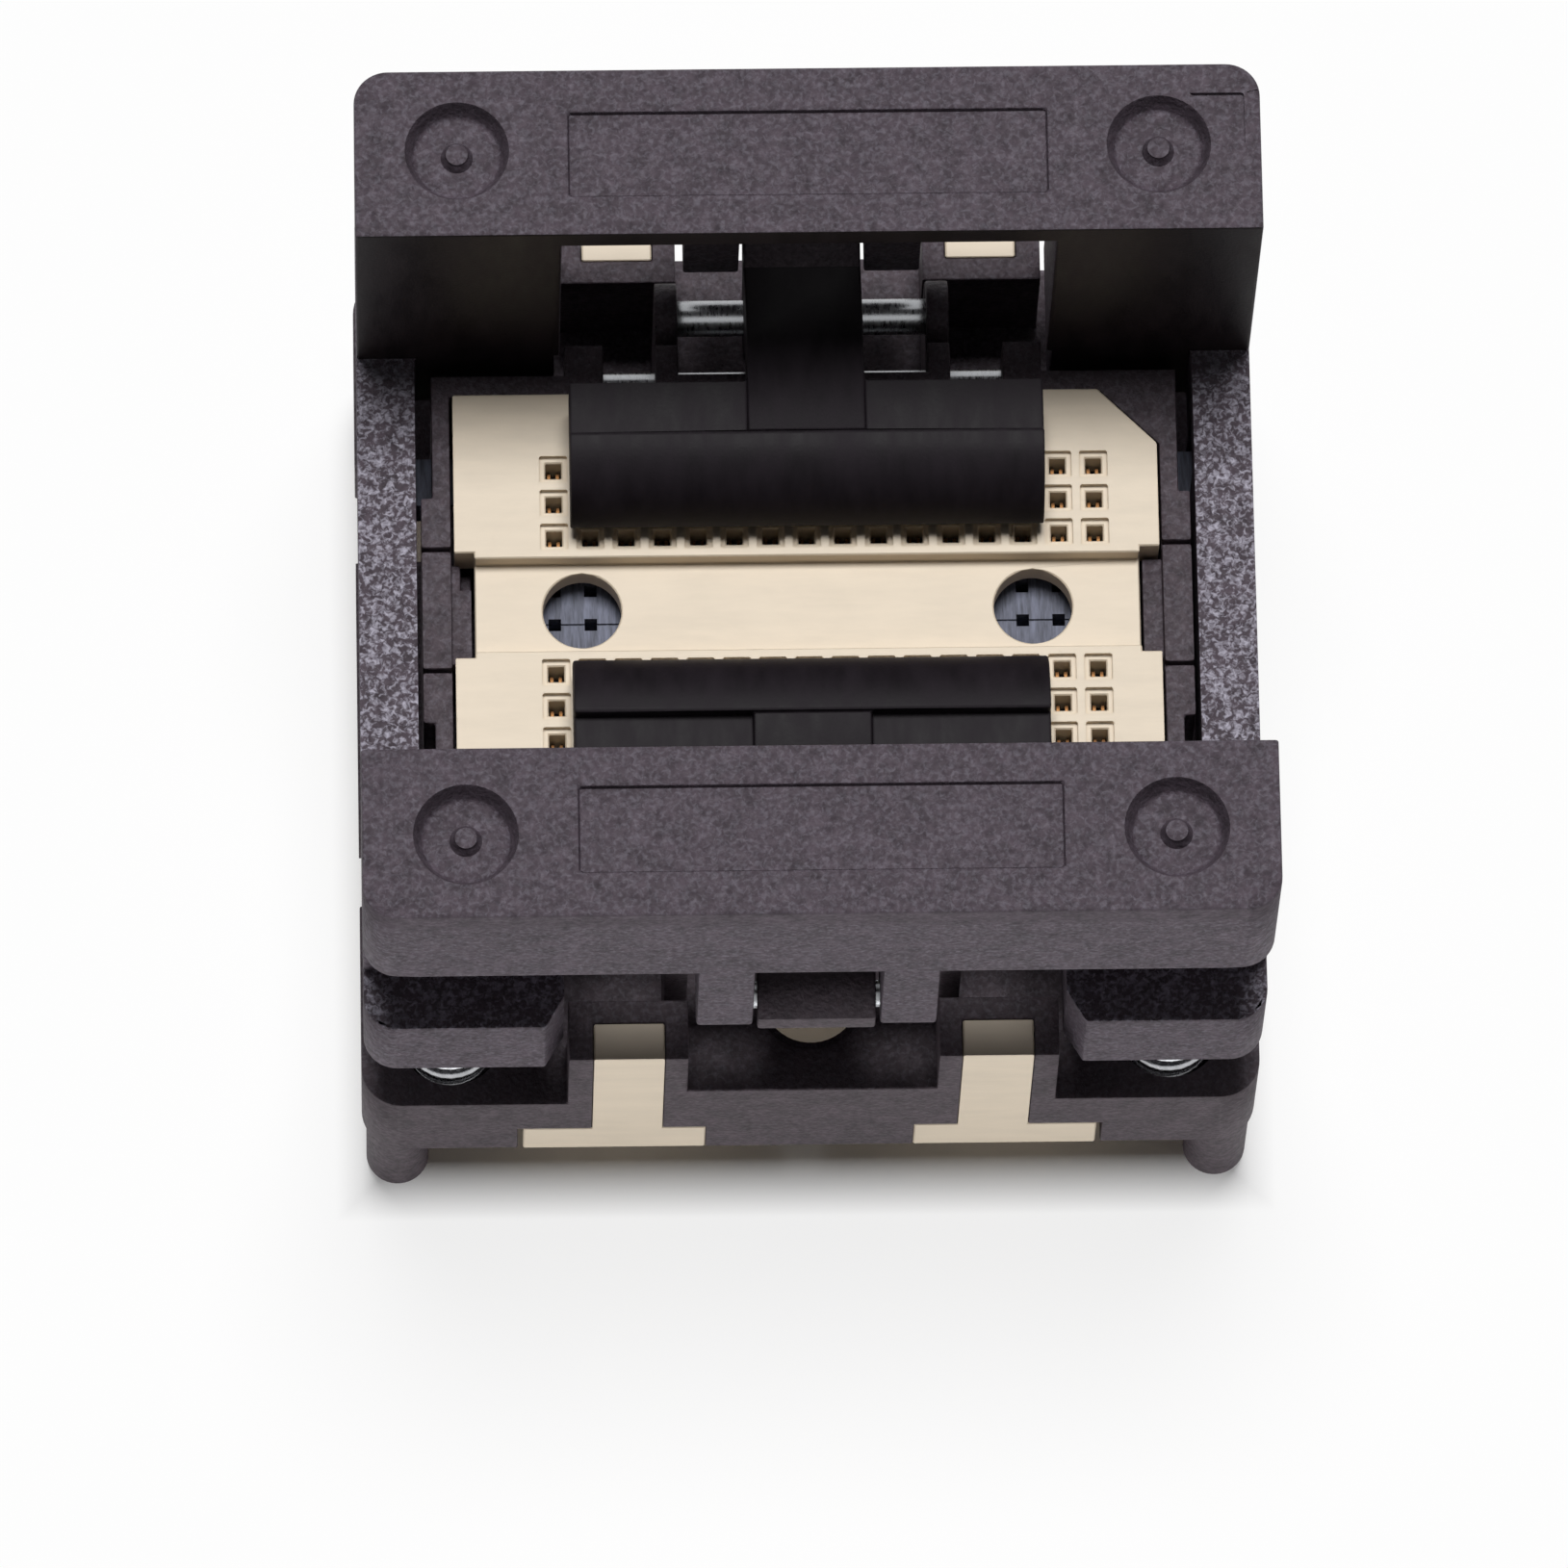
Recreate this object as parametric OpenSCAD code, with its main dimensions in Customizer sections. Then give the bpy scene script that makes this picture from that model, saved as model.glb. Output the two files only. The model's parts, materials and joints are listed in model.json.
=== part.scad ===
// Open-top socket for a 96-ball chip package. Pressing the cover opens two latches
// and shifts the slider that spreads the contacts. Origin: middle of the underside of
// the base, the face that sits on the circuit board. +Z up, front towards -Y.

/* [Overall size] */
// Width of the press cover, left to right
cover_w = 19.9; // [19:0.1:24]
// Depth of the press cover, front to rear
cover_d = 19.7; // [19:0.1:24]
// How far the base stands out past the cover on each side
base_edge = 0.05; // [0:0.01:0.2]
// Rounding of the upright corners of the cover
cover_r = 0.75; // [0.3:0.05:1.2]
// Rounding of the upright corners of the base
base_r = 0.9; // [0.3:0.05:1.2]

/* [Heights] */
// Thickness of the pale plate under the base
plate_t = 1.3; // [0.9:0.1:1.6]
// Top of the base deck that the corner springs stand on
deck_z = 3.0; // [2.8:0.1:3.6]
// Top of the two screw towers
tower_z = 3.8; // [3.4:0.1:4]
// Open gap between the base deck and the cover at rest
spring_gap = 2.4; // [2.2:0.1:3.4]
// How far the cover can be pressed down
stroke = 1.8; // [1.2:0.1:1.8]
// Height of the rails and corner lugs of the cover
rail_t = 2.7; // [2.3:0.1:3.4]
// Height of the finger groove under the head of each press bar
groove_h = 3.5; // [3:0.1:4.2]
// Height of the head of each press bar
head_h = 3.9; // [3.2:0.1:4.8]

/* [Cover] */
// Depth of each press bar, front to rear
bar_d = 3.9; // [3.8:0.1:4.8]
// Width of the side rails
rail_w = 1.3; // [1.2:0.1:1.6]
// Depth of the finger groove
groove_d = 1.4; // [0.8:0.1:1.8]
// Width of the hollow that takes an open latch
cavity_w = 10.84; // [10.8:0.02:12]
// Thickness of the bar above that hollow
roof_t = 0.7; // [0.4:0.1:1]
// Thickness of the outer wall of that hollow
bar_wall = 0.9; // [0.6:0.1:1.1]
// Width of each ear that carries a cover pin
ear_w = 1.24; // [0.9:0.02:1.3]
// Half gap between a pair of ears
ear_gap = 1.4; // [1.35:0.01:1.45]
// Width of each guide leg, front to rear
leg_w = 1.95; // [1.8:0.05:2.1]
// Distance of the guide legs from the middle
leg_y = 4.08; // [4:0.02:4.15]
// Bottom of the guide legs at rest
leg_z = 2.0; // [1.9:0.1:2.6]
// Rim diameter of the four round recesses in the top
recess_dia = 2.3; // [1.6:0.1:2.8]
// Depth of those recesses
recess_depth = 0.45; // [0.1:0.05:0.5]
// Leg of the sunk triangle that marks the key corner
mark_leg = 1.2; // [0.8:0.1:1.3]
// Length of the sunk panel in the top of each bar
panel_w = 10.5; // [6:0.1:12]
// Width of that panel
panel_d = 1.95; // [1:0.05:2.4]
// Depth of that panel
panel_depth = 0.12; // [0.05:0.01:0.3]

/* [Latches] */
// Overall width of a latch flap
latch_w = 10.5; // [8:0.1:10.6]
// Width of the arm that carries the flap
arm_w = 2.6; // [1.8:0.1:2.6]
// Radius of the rounded nose of the flap
nose_r = 1.6; // [1.2:0.1:1.6]
// Height of the flap underside above the seat
nose_gap = 0.45; // [0.3:0.05:1]
// Distance from the latch shaft to the middle of the nose rounding
nose_reach = 4.0; // [3.5:0.05:4.05]
// Diameter of the steel shaft that a latch turns on
shaft_dia = 0.8; // [0.6:0.05:1]
// Diameter of the steel pin in the cover ears
cover_pin_dia = 0.6; // [0.4:0.05:0.7]
// Height of the latch shafts
shaft_z = 7.1; // [6.8:0.05:7.2]
// Distance of a latch shaft outwards from the inner face of its bar
shaft_out = 1.25; // [1.2:0.05:1.3]
// Level distance from a latch shaft to its cover pin
tail_reach = 2.0; // [1.9:0.05:2.05]
// Height of the cover pins above the latch shafts at rest
tail_rise = 1.2; // [1:0.05:1.2]

/* [Seat and contacts] */
// Spacing of the contacts
pitch = 0.8; // [0.7:0.05:0.8]
// Contacts in each row
columns = 16; // [8:1:16]
// Rows in each of the two banks
bank_rows = 3; // [1:1:3]
// Distance of the first row from the middle
first_row = 1.6; // [1.6:0.1:1.7]
// Sideways shift of the contact field
field_shift = 0.4; // [0:0.1:0.4]
// Top of the seat plate
seat_z = 8.3; // [8.2:0.05:8.4]
// Thickness of the seat plate at its banks
seat_t = 1.05; // [0.9:0.05:1.1]
// Half width of the sunk strip between the banks
strip_half = 1.1; // [1:0.05:1.25]
// Depth of that strip below the banks
strip_drop = 0.45; // [0.3:0.05:0.5]
// How far the seat plate can be pressed down
seat_travel = 0.25; // [0.1:0.05:0.3]
// Diameter of the two round windows
window_dia = 1.75; // [1:0.05:2]
// Distance of the windows from the middle
window_x = 5.0; // [4:0.1:5.5]
// Size of the corner cut that marks the first contact
key_cut = 1.3; // [0.6:0.1:1.5]
// Side of the square holes in the seat plate
seat_hole = 0.36; // [0.32:0.02:0.4]
// Side of the shallow square recess round each hole
seat_recess = 0.62; // [0.5:0.02:0.66]
// Thickness of the slider plate
slider_t = 0.75; // [0.5:0.05:0.8]
// Sideways travel of the slider at full stroke
slider_travel = 0.3; // [0.1:0.05:0.3]

/* [Springs, pins and screws] */
// Outer diameter of the corner springs
spring_dia = 2.1; // [1.8:0.1:2.4]
// Wire diameter of the corner springs
spring_wire = 0.25; // [0.18:0.01:0.28]
// Turns of the corner springs
spring_turns = 9; // [6:1:10]
// Depth of the spring seats in base and cover
spring_seat = 1.5; // [0.8:0.1:1.6]
// Diameter of three of the locating pins
peg_dia = 1.4; // [1:0.05:1.5]
// Diameter of the thick locating pin at the rear left
key_peg_dia = 1.75; // [1.5:0.05:1.8]
// Length of the locating pins below the base
peg_len = 2.94; // [1.5:0.01:3.5]
// Diameter of the two screw holes
screw_dia = 2.1; // [1.6:0.1:2.2]
// Distance of the screw holes from the middle
screw_y = 7.65; // [7.4:0.05:7.8]

/* [Fits] */
// Sliding gap between flat faces of moving pieces
slide_gap = 0.11; // [0.06:0.01:0.15]
// Radial running gap between a pin and its bore
pin_gap = 0.03; // [0.01:0.01:0.05]
// Gap between the seat plate and its pocket
pocket_gap = 0.07; // [0.05:0.01:0.1]

/* [Hidden] */

black = "#2b292b";
gloss_black = "#1c1b1d";
cream = "#e8d9ba";
steel = "#b9bcc2";
gold = "#c9a25a";
round_fn = 48;
small_fn = 24;
eps = 0.01;

// Heights worked out from the stack
rail_z0 = deck_z + spring_gap;
rail_z1 = rail_z0 + rail_t;
head_z0 = rail_z1 + groove_h;
top_z = head_z0 + head_h;
cavity_z1 = top_z - roof_t;

// Plan of the cover and of the base
cx = cover_w / 2;
cy = cover_d / 2;
bar_in = cy - bar_d;
rail_in = cx - rail_w;
cavity_out = cy - bar_wall;
lug_in = cavity_w / 2 + slide_gap;
lug_cut = 0.42;
lug_cut_y = 0.7;
recess_x = cx - 2.25;
recess_y = cy - 1.9;
recess_floor = recess_dia - 0.4;
mark_x = cx - 0.35;
mark_y = cy - 0.7;
mark_depth = 0.1;
bx = cx + base_edge;
by = cy + base_edge;

// The tub: the raised walls of the base round the seat
tub_x = rail_in - slide_gap;
tub_leg_x = tub_x - 0.25;
tub_y = bar_in - 0.4;
tub_z = seat_z - 0.3;
tub_wall = 0.5;
tub_step_y = leg_y - leg_w / 2 - 0.45;
seam_y = strip_half + 0.33;
pocket_x = tub_leg_x - tub_wall + 0.1;
pocket_y = tub_y - tub_wall;
core_z = 5.4;
block_half = strip_half + pocket_gap;
ledge_z = tub_z - 0.35;

// The seat plate and the slider
seat_x = pocket_x - pocket_gap;
seat_y = pocket_y - pocket_gap;
seat_z0 = seat_z - seat_t;
strip_x = seat_x - 0.44;
block_x = strip_x + pocket_gap;
slider_z1 = seat_z0 - seat_travel - 0.05;
slider_z0 = slider_z1 - slider_t;
crease_depth = 0.06;
slider_x = block_x - slider_travel - slide_gap;
row_last = first_row + (bank_rows - 1) * pitch;
slider_y = row_last + 0.7;
cam_w = leg_w - 0.85;
cam_z = 4.2;
cam_h = 1.0;
cam_slope = slider_travel / stroke;
cam_gap = 0.05;
skirt_out = pocket_x - slider_travel - slide_gap;
skirt_t = 0.5;

// Places of the contacts
contact_w = 0.26;
contact_beam = 0.07;
contact_z0 = 0.1;
contact_z1 = seat_z - seat_recess;
beam_z = core_z - 0.2;
row_y = concat(
    [for (i = [bank_rows - 1:-1:0]) -(first_row + i * pitch)],
    [for (i = [0:bank_rows - 1]) first_row + i * pitch]
);

// Latch shafts, cover pins and retainer pins
shaft_y = bar_in + shaft_out;
shaft_r = shaft_dia / 2;
cover_pin_r = cover_pin_dia / 2;
cover_pin_y = shaft_y + tail_reach;
cover_pin_z = shaft_z + tail_rise;
ear_in = 1.85;
retainer_r = 0.3;
retainer_y = bar_in - 0.2;
retainer_z = 6.7;
toe_x0 = 3.45;
toe_x1 = 4.3;
toe_gap = 0.15;
toe_z1 = retainer_z - retainer_r - 0.05;

// Ends of the base: arms of the pale plate and the walls beside them
arm_x0 = 3.3;
arm_x1 = 4.86;
arm_t = 0.85;
arm_z1 = 6.0;
arm_in = by - arm_t;
wall_x0 = 2.78;
wall_x1 = 5.42;
wall_z = 6.0;
wall_gap = 0.02;
post_t = 0.55;
post_z = 6.0;
rib_z = 4.4;
rib_t = 0.25;
foot_x = 6.4;
foot_gap = 0.12;
stake_x = 4.55;
stake_y = 7.1;
stake_r = 0.52;
tower_x = 2.33;
tower_in = 5.7;
plate_x = 7.8;
plate_y = 6.05;
side_foot = 3.0;

// Corner springs, seat springs and locating pins
spring_x = cx - 1.95;
spring_y = cy - 1.6;
spring_r = spring_dia / 2;
spring_z0 = deck_z - spring_seat;
spring_z1 = rail_z0 + spring_seat;
seat_spring_x = 5.6;
seat_spring_y = slider_y + 0.55;
seat_spring_r = 0.42;
seat_spring_wire = 0.14;
seat_spring_turns = 6;
seat_spring_z0 = core_z - 0.5;
seat_spring_z1 = seat_z0 + 0.3;
peg_inset = 0.8;
key_peg_inset = 1.28;

// A rectangle with true round corners
module round_rect(w, d, r) {
    square([w - 2 * r, d], center = true);
    square([w, d - 2 * r], center = true);
    for (x = [-1, 1], y = [-1, 1])
        translate([x * (w / 2 - r), y * (d / 2 - r)]) circle(r, $fn = round_fn);
}

// A box given by its two opposite corners
module box(a, b) {
    translate(a) cube(b - a);
}

// The same shape on the left and on the right
module both_sides() {
    children();
    mirror([1, 0, 0]) children();
}

// The same shape at the rear and at the front
module both_ends() {
    children();
    mirror([0, 1, 0]) children();
}

module four_corners() {
    both_sides() both_ends() children();
}

// Children drawn with X outwards and Y up, given a width along X
module side_profile(w) {
    rotate([90, 0, 90]) linear_extrude(w, center = true) children();
}

// A round bar along X through a point of the YZ plane
module cross_bar(y, z, r, len, fn = small_fn) {
    translate([0, y, z]) rotate([0, 90, 0]) cylinder(h = len, r = r, center = true, $fn = fn);
}

// A round wire wound as an open spring, standing on the XY plane
module coil(r, wire, height, turns, steps, sides) {
    mid = r - wire / 2;
    lift = height - wire;
    n = turns * steps;
    ring = [for (i = [0:n]) let (a = 360 * i / steps, z = wire / 2 + lift * i / n)
        [for (k = [0:sides - 1]) let (b = 360 * k / sides, q = mid + cos(b) * wire / 2)
            [q * cos(a), q * sin(a), z + sin(b) * wire / 2]]];
    points = [for (p = ring) for (v = p) v];
    skin = [for (i = [0:n - 1], k = [0:sides - 1]) let (m = (k + 1) % sides)
        [i * sides + k, (i + 1) * sides + k, (i + 1) * sides + m, i * sides + m]];
    caps = [[for (k = [0:sides - 1]) k], [for (k = [sides - 1:-1:0]) n * sides + k]];
    polyhedron(points, concat(skin, caps), convexity = 10);
}

// Square openings at every contact of the given rows
module contact_field(rows, w, d, z0, z1, shift = 0) {
    for (y = rows, i = [0:columns - 1])
        translate([field_shift + shift + (i - (columns - 1) / 2) * pitch, y, (z0 + z1) / 2])
            cube([w, d, z1 - z0], center = true);
}

// Outline of the tub walls seen from above
module tub_outline() {
    square([2 * tub_x, 2 * tub_step_y], center = true);
    square([2 * tub_leg_x, 2 * tub_y], center = true);
}

// Outline of the pocket that takes the seat plate, with the key corner
module pocket_outline(x, y, mid_x, mid_half) {
    difference() {
        square([2 * x, 2 * y], center = true);
        translate([x, y]) polygon([[0, 0], [-key_cut, 0], [0, -key_cut]]);
        both_sides() translate([mid_x, -mid_half]) square([x, 2 * mid_half]);
    }
}

module base_deck() {
    translate([0, 0, plate_t]) linear_extrude(deck_z - plate_t) difference() {
        round_rect(2 * bx, 2 * by, base_r);
        both_sides() both_ends() {
            translate([tub_leg_x, leg_y - leg_w / 2 - slide_gap])
                square([bx, leg_w + 2 * slide_gap]);
            translate([arm_x0 - wall_gap, arm_in - wall_gap])
                square([arm_x1 - arm_x0 + 2 * wall_gap, by]);
        }
    }
}

module base_feet() {
    linear_extrude(plate_t + eps) intersection() {
        round_rect(2 * bx, 2 * by, base_r);
        union() {
            both_sides() both_ends() translate([foot_x + foot_gap, plate_y + 0.3]) square(bx);
            both_sides() translate([plate_x + wall_gap, -side_foot])
                square([bx, 2 * side_foot]);
            both_ends() translate([-tower_x, tower_in]) square([2 * tower_x, by]);
        }
    }
}

// Two stakes of the base that show in the underside of the pale plate
module base_stakes() {
    for (s = [-1, 1]) translate([s * stake_x, s * stake_y, 0.05])
        cylinder(h = plate_t, r = stake_r, $fn = round_fn);
}

module base_end() {
    box([-wall_x0, tub_y - eps, plate_t], [wall_x0, by, tower_z]);
    both_sides() {
        box([wall_x0 - eps, arm_in - post_t, deck_z - eps], [arm_x0 - wall_gap, by, wall_z]);
        box([arm_x1 + wall_gap, arm_in - post_t, deck_z - eps], [wall_x1, by, wall_z]);
        box([wall_x0 - eps, arm_in - post_t, deck_z - eps], [wall_x1, arm_in - wall_gap, post_z]);
        box([wall_x0 - eps, tub_y - eps, deck_z - eps], [arm_x0 - wall_gap, shaft_y + 0.8, shaft_z]);
        translate([(wall_x0 + arm_x0 - wall_gap) / 2, 0, 0])
            cross_bar(shaft_y, shaft_z, 0.8, arm_x0 - wall_gap - wall_x0, round_fn);
        box([wall_x0, tub_y - eps, deck_z - eps], [arm_x0 - wall_gap, retainer_y + 0.5, tub_z]);
        box([toe_x1 + toe_gap, tub_y - eps, deck_z - eps], [wall_x1 - slide_gap, retainer_y + 0.5, tub_z]);
    }
}

module locating_peg(dia) {
    translate([0, 0, 0.2 - peg_len]) cylinder(h = peg_len, d = dia, $fn = round_fn);
    translate([0, 0, -peg_len]) cylinder(h = 0.2, d1 = dia - 0.4, d2 = dia, $fn = round_fn);
}

module locating_pegs() {
    for (x = [-1, 1]) translate([x * (bx - peg_inset), peg_inset - by, 0]) locating_peg(peg_dia);
    translate([bx - peg_inset, by - peg_inset, 0]) locating_peg(peg_dia);
    translate([key_peg_inset - bx, by - key_peg_inset, 0]) locating_peg(key_peg_dia);
}

// Room in the tub for a cam arm of the slider, out to x1 and up to z1
module cam_room(x1, z1) {
    x0 = skirt_out - skirt_t - slider_travel - slide_gap;
    half = cam_w / 2 + slide_gap;
    box([x0, leg_y - half, cam_z - slide_gap], [x1, leg_y + half, z1 + slide_gap]);
}

module base_housing() color(black) difference() {
    union() {
        base_deck();
        base_feet();
        translate([0, 0, deck_z - eps]) linear_extrude(tub_z - deck_z + eps) tub_outline();
        both_ends() base_end();
        base_stakes();
        locating_pegs();
    }
    translate([0, 0, core_z]) linear_extrude(tub_z)
        pocket_outline(pocket_x, pocket_y, block_x, block_half);
    contact_field(row_y, 0.36, 0.36, -1, tub_z);
    both_ends() {
        translate([0, screw_y, -1]) cylinder(h = tub_z, d = screw_dia, $fn = round_fn);
        translate([0, screw_y, tower_z - 0.2]) cylinder(h = 1, d = screw_dia + 0.4, $fn = round_fn);
        cross_bar(shaft_y, shaft_z, shaft_r + 0.01, 2 * arm_x0 - 0.1);
        cross_bar(retainer_y, retainer_z, retainer_r + 0.01, 2 * wall_x1 - 0.6);
    }
    four_corners() {
        box([arm_x0 - wall_gap, pocket_y - eps, core_z], [toe_x1 + toe_gap, tub_y + eps, tub_z + 1]);
        translate([spring_x, spring_y, spring_z0])
            cylinder(h = spring_seat + 1, r = spring_r + 0.1, $fn = round_fn);
        translate([seat_spring_x, seat_spring_y, seat_spring_z0])
            cylinder(h = 1, r = seat_spring_r + 0.08, $fn = small_fn);
        cam_room(tub_x + 1, cam_z + cam_h);
        cam_room(pocket_x, slider_z1);
        box([block_x - eps, seam_y - 0.05, tub_z - 0.3], [tub_x + eps, seam_y + 0.05, tub_z + 1]);
        box([arm_x0 - wall_gap, arm_in - rib_t - wall_gap, rib_z - wall_gap],
            [arm_x1 + wall_gap, arm_in, rib_z + 0.5 + wall_gap]);
        box([plate_x + 0.5, 0.12, -1], [plate_x + 1.4, 0.9, plate_t - 0.4]);
    }
    both_sides() box([block_x - eps, -block_half, ledge_z], [pocket_x, block_half, tub_z + 1]);
    box([-pocket_x + 0.2, 0.6, tub_z - 1], [-block_x + eps, block_half, tub_z + 1]);
}

module plate_outline() {
    difference() {
        union() {
            round_rect(2 * plate_x, 2 * plate_y, 0.6);
            square([2 * foot_x, 2 * by], center = true);
        }
        both_ends() translate([-tower_x, tower_in]) square([2 * tower_x, by]);
        translate([-plate_x - 1, -1]) square([1.3, 2.8]);
        for (s = [-1, 1]) translate([s * stake_x, s * stake_y]) circle(stake_r + wall_gap, $fn = round_fn);
    }
}

// One upright arm of the pale plate, with the rib that snaps into the base
module plate_arm() {
    box([arm_x0, arm_in, plate_t - eps], [arm_x1, by, arm_z1]);
    translate([(arm_x0 + arm_x1) / 2, 0, 0]) side_profile(arm_x1 - arm_x0)
        polygon([[arm_in + eps, rib_z], [arm_in - rib_t, rib_z], [arm_in - rib_t, rib_z + 0.2],
            [arm_in + eps, rib_z + 0.5]]);
}

module contact_plate() color(cream) difference() {
    union() {
        linear_extrude(plate_t) plate_outline();
        four_corners() plate_arm();
    }
    for (y = row_y, i = [0:columns - 1])
        translate([field_shift + (i - (columns - 1) / 2) * pitch, y, -1])
            cylinder(h = plate_t + 2, d = 0.42, $fn = 8);
    for (s = [-1, 1]) translate([s * stake_x, -s * stake_y, -1]) {
        cylinder(h = plate_t + 2, d = 1.5, $fn = small_fn);
        cylinder(h = 1.5, d = 2.4, $fn = round_fn);
    }
    four_corners() translate([4, 9.1, -1]) cube([1.4, 0.5, 1.5], center = true);
}

// One contact: tail, post and two spring legs that grip a solder ball
module contact() {
    box([-0.09, -0.09, contact_z0], [0.09, 0.09, plate_t + eps]);
    box([-contact_w / 2, -0.15, plate_t], [contact_w / 2, 0.15, beam_z]);
    both_sides() box([contact_w / 2 - contact_beam, -0.1, beam_z - eps], [contact_w / 2, 0.1, contact_z1]);
}

module contact_row(n) color(gold) {
    for (i = [0:columns - 1])
        translate([field_shift + (i - (columns - 1) / 2) * pitch, row_y[n - 1], 0]) contact();
}

// End of a cam arm: its sloped face runs along the groove in the guide leg
module cam_arm(side) {
    reach = side > 0 ? 0.44 : 0.04;
    slope = side > 0 ? -cam_slope : cam_slope;
    x0 = skirt_out - skirt_t;
    x1 = rail_in + reach;
    translate([0, leg_y, 0]) rotate([90, 0, 0]) linear_extrude(cam_w, center = true)
        polygon([[x0, cam_z], [x1, cam_z], [x1 + slope * cam_h, cam_z + cam_h],
            [skirt_out, cam_z + cam_h], [skirt_out, slider_z1], [x0 - 0.6, slider_z1],
            [x0 - 0.6, slider_z0], [x0, slider_z0]]);
}

// Groove that a cam arm runs in, cut in the inner face of a guide leg
module cam_groove(side) {
    reach = (side > 0 ? 0.44 : 0.04) + cam_gap;
    slope = side > 0 ? -cam_slope : cam_slope;
    x1 = rail_in + reach;
    h = cam_h + stroke + 0.1;
    translate([0, leg_y, 0]) rotate([90, 0, 0]) linear_extrude(cam_w + 2 * slide_gap, center = true)
        polygon([[rail_in - 1, cam_z - 0.1], [x1 - slope * 0.1, cam_z - 0.1],
            [x1 + slope * h, cam_z + h], [rail_in - 1, cam_z + h]]);
}

module slider() color(black) difference() {
    union() {
        box([-slider_x, -slider_y, slider_z0], [slider_x, slider_y, slider_z1]);
        both_ends() {
            box([-skirt_out + skirt_t, slider_y - 0.5, slider_z0],
                [skirt_out - skirt_t, slider_y, slider_z1]);
            cam_arm(1);
            mirror([1, 0, 0]) cam_arm(-1);
        }
    }
    contact_field(row_y, contact_w + slider_travel + 0.1, 0.34, slider_z0 - 1, slider_z1 + 1,
        slider_travel / 2);
    contact_field([-pitch, 0, pitch], 0.28, 0.28, slider_z0 - 1, slider_z1 + 1);
    box([-cover_w, -0.025, slider_z1 - crease_depth], [cover_w, 0.025, slider_z1 + 1]);
}

// One toe of the seat plate, caught under a retainer pin
module seat_toe() {
    box([toe_x0, seat_y - 0.45, toe_z1 - 0.45], [toe_x1, seat_y, seat_z0 + eps]);
    box([toe_x0, seat_y - eps, toe_z1 - 0.45], [toe_x1, retainer_y - 0.1, toe_z1]);
}

module seat_plate() color(cream) difference() {
    union() {
        difference() {
            translate([0, 0, seat_z0]) linear_extrude(seat_t)
                pocket_outline(seat_x, seat_y, strip_x, strip_half + 2 * pocket_gap);
            box([-cover_w, -strip_half, seat_z - strip_drop], [cover_w, strip_half, seat_z + 1]);
        }
        four_corners() seat_toe();
    }
    contact_field(row_y, seat_hole, seat_hole, seat_z0 - 1, seat_z + 1);
    contact_field(row_y, seat_recess, seat_recess, seat_z - 0.14, seat_z + 1);
    both_sides() translate([window_x, 0, seat_z0 - 1]) cylinder(h = 3, d = window_dia, $fn = round_fn);
    four_corners() translate([seat_spring_x, seat_spring_y, seat_z0 - 1])
        cylinder(h = 1.3, r = seat_spring_r + 0.08, $fn = small_fn);
}

module cover_rails() {
    translate([0, 0, rail_z0]) linear_extrude(rail_t) difference() {
        round_rect(2 * cx, 2 * cy, cover_r);
        square([2 * rail_in, 2 * bar_in], center = true);
        square([2 * lug_in, 2 * cy + 1], center = true);
        four_corners() translate([lug_in, cy]) 
            polygon([[-1, 0.5], [lug_cut, 0.5], [lug_cut, 0], [0, -lug_cut_y], [-1, -lug_cut_y]]);
    }
}

module cover_bar() {
    box([-cx, bar_in, rail_z1 - eps], [cx, cy - groove_d, head_z0 + eps]);
    translate([0, 0, head_z0]) linear_extrude(head_h) intersection() {
        round_rect(2 * cx, 2 * cy, cover_r);
        translate([-cx, bar_in]) square([2 * cx, bar_d]);
    }
}

module cover_ears() {
    both_sides() translate([ear_gap + ear_w / 2, 0, 0]) {
        cross_bar(cover_pin_y, cover_pin_z, cy - cover_pin_y, ear_w, round_fn);
        box([-ear_w / 2, 2 * cover_pin_y - cy, cover_pin_z], [ear_w / 2, cy, head_z0 + 0.3]);
        box([-ear_w / 2, cy - ear_in, cover_pin_z - 0.45], [ear_w / 2, cover_pin_y, head_z0 + 0.3]);
    }
}

// Round tapered recess in the top, with the stub of the moulding gate at its middle
module gate_recess() {
    translate([recess_x, recess_y, top_z - recess_depth]) difference() {
        union() {
            cylinder(h = recess_depth, d1 = recess_floor, d2 = recess_dia, $fn = round_fn);
            translate([0, 0, recess_depth - eps]) cylinder(h = 1, d = recess_dia, $fn = round_fn);
        }
        translate([0, 0, -1]) cylinder(h = 1 + recess_depth / 2, d = 0.48, $fn = small_fn);
        translate([0, 0, -eps]) cylinder(h = recess_depth / 2, d1 = 0.72, d2 = 0.48, $fn = small_fn);
    }
}

module cover() color(black) difference() {
    union() {
        cover_rails();
        both_ends() {
            difference() {
                cover_bar();
                box([-cavity_w / 2, bar_in - 1, rail_z0 - 1], [cavity_w / 2, cavity_out, cavity_z1]);
            }
            cover_ears();
        }
        four_corners() box([rail_in, leg_y - leg_w / 2, leg_z], [cx, leg_y + leg_w / 2, rail_z0 + eps]);
    }
    both_ends() {
        cross_bar(cover_pin_y, cover_pin_z, cover_pin_r + 0.01, 2 * (ear_gap + ear_w) + 1);
        cam_groove(1);
        mirror([1, 0, 0]) cam_groove(-1);
        translate([0, cy - 2.0, top_z - panel_depth]) linear_extrude(1)
            square([panel_w, panel_d], center = true);
    }
    four_corners() {
        translate([spring_x, spring_y, rail_z0 - 1])
            cylinder(h = spring_seat + 1, r = spring_r + 0.1, $fn = round_fn);
        gate_recess();
    }
    translate([mark_x, mark_y, top_z - mark_depth]) linear_extrude(1)
        polygon([[0, 0], [-mark_leg, 0], [0, -mark_leg]]);
}

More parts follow.
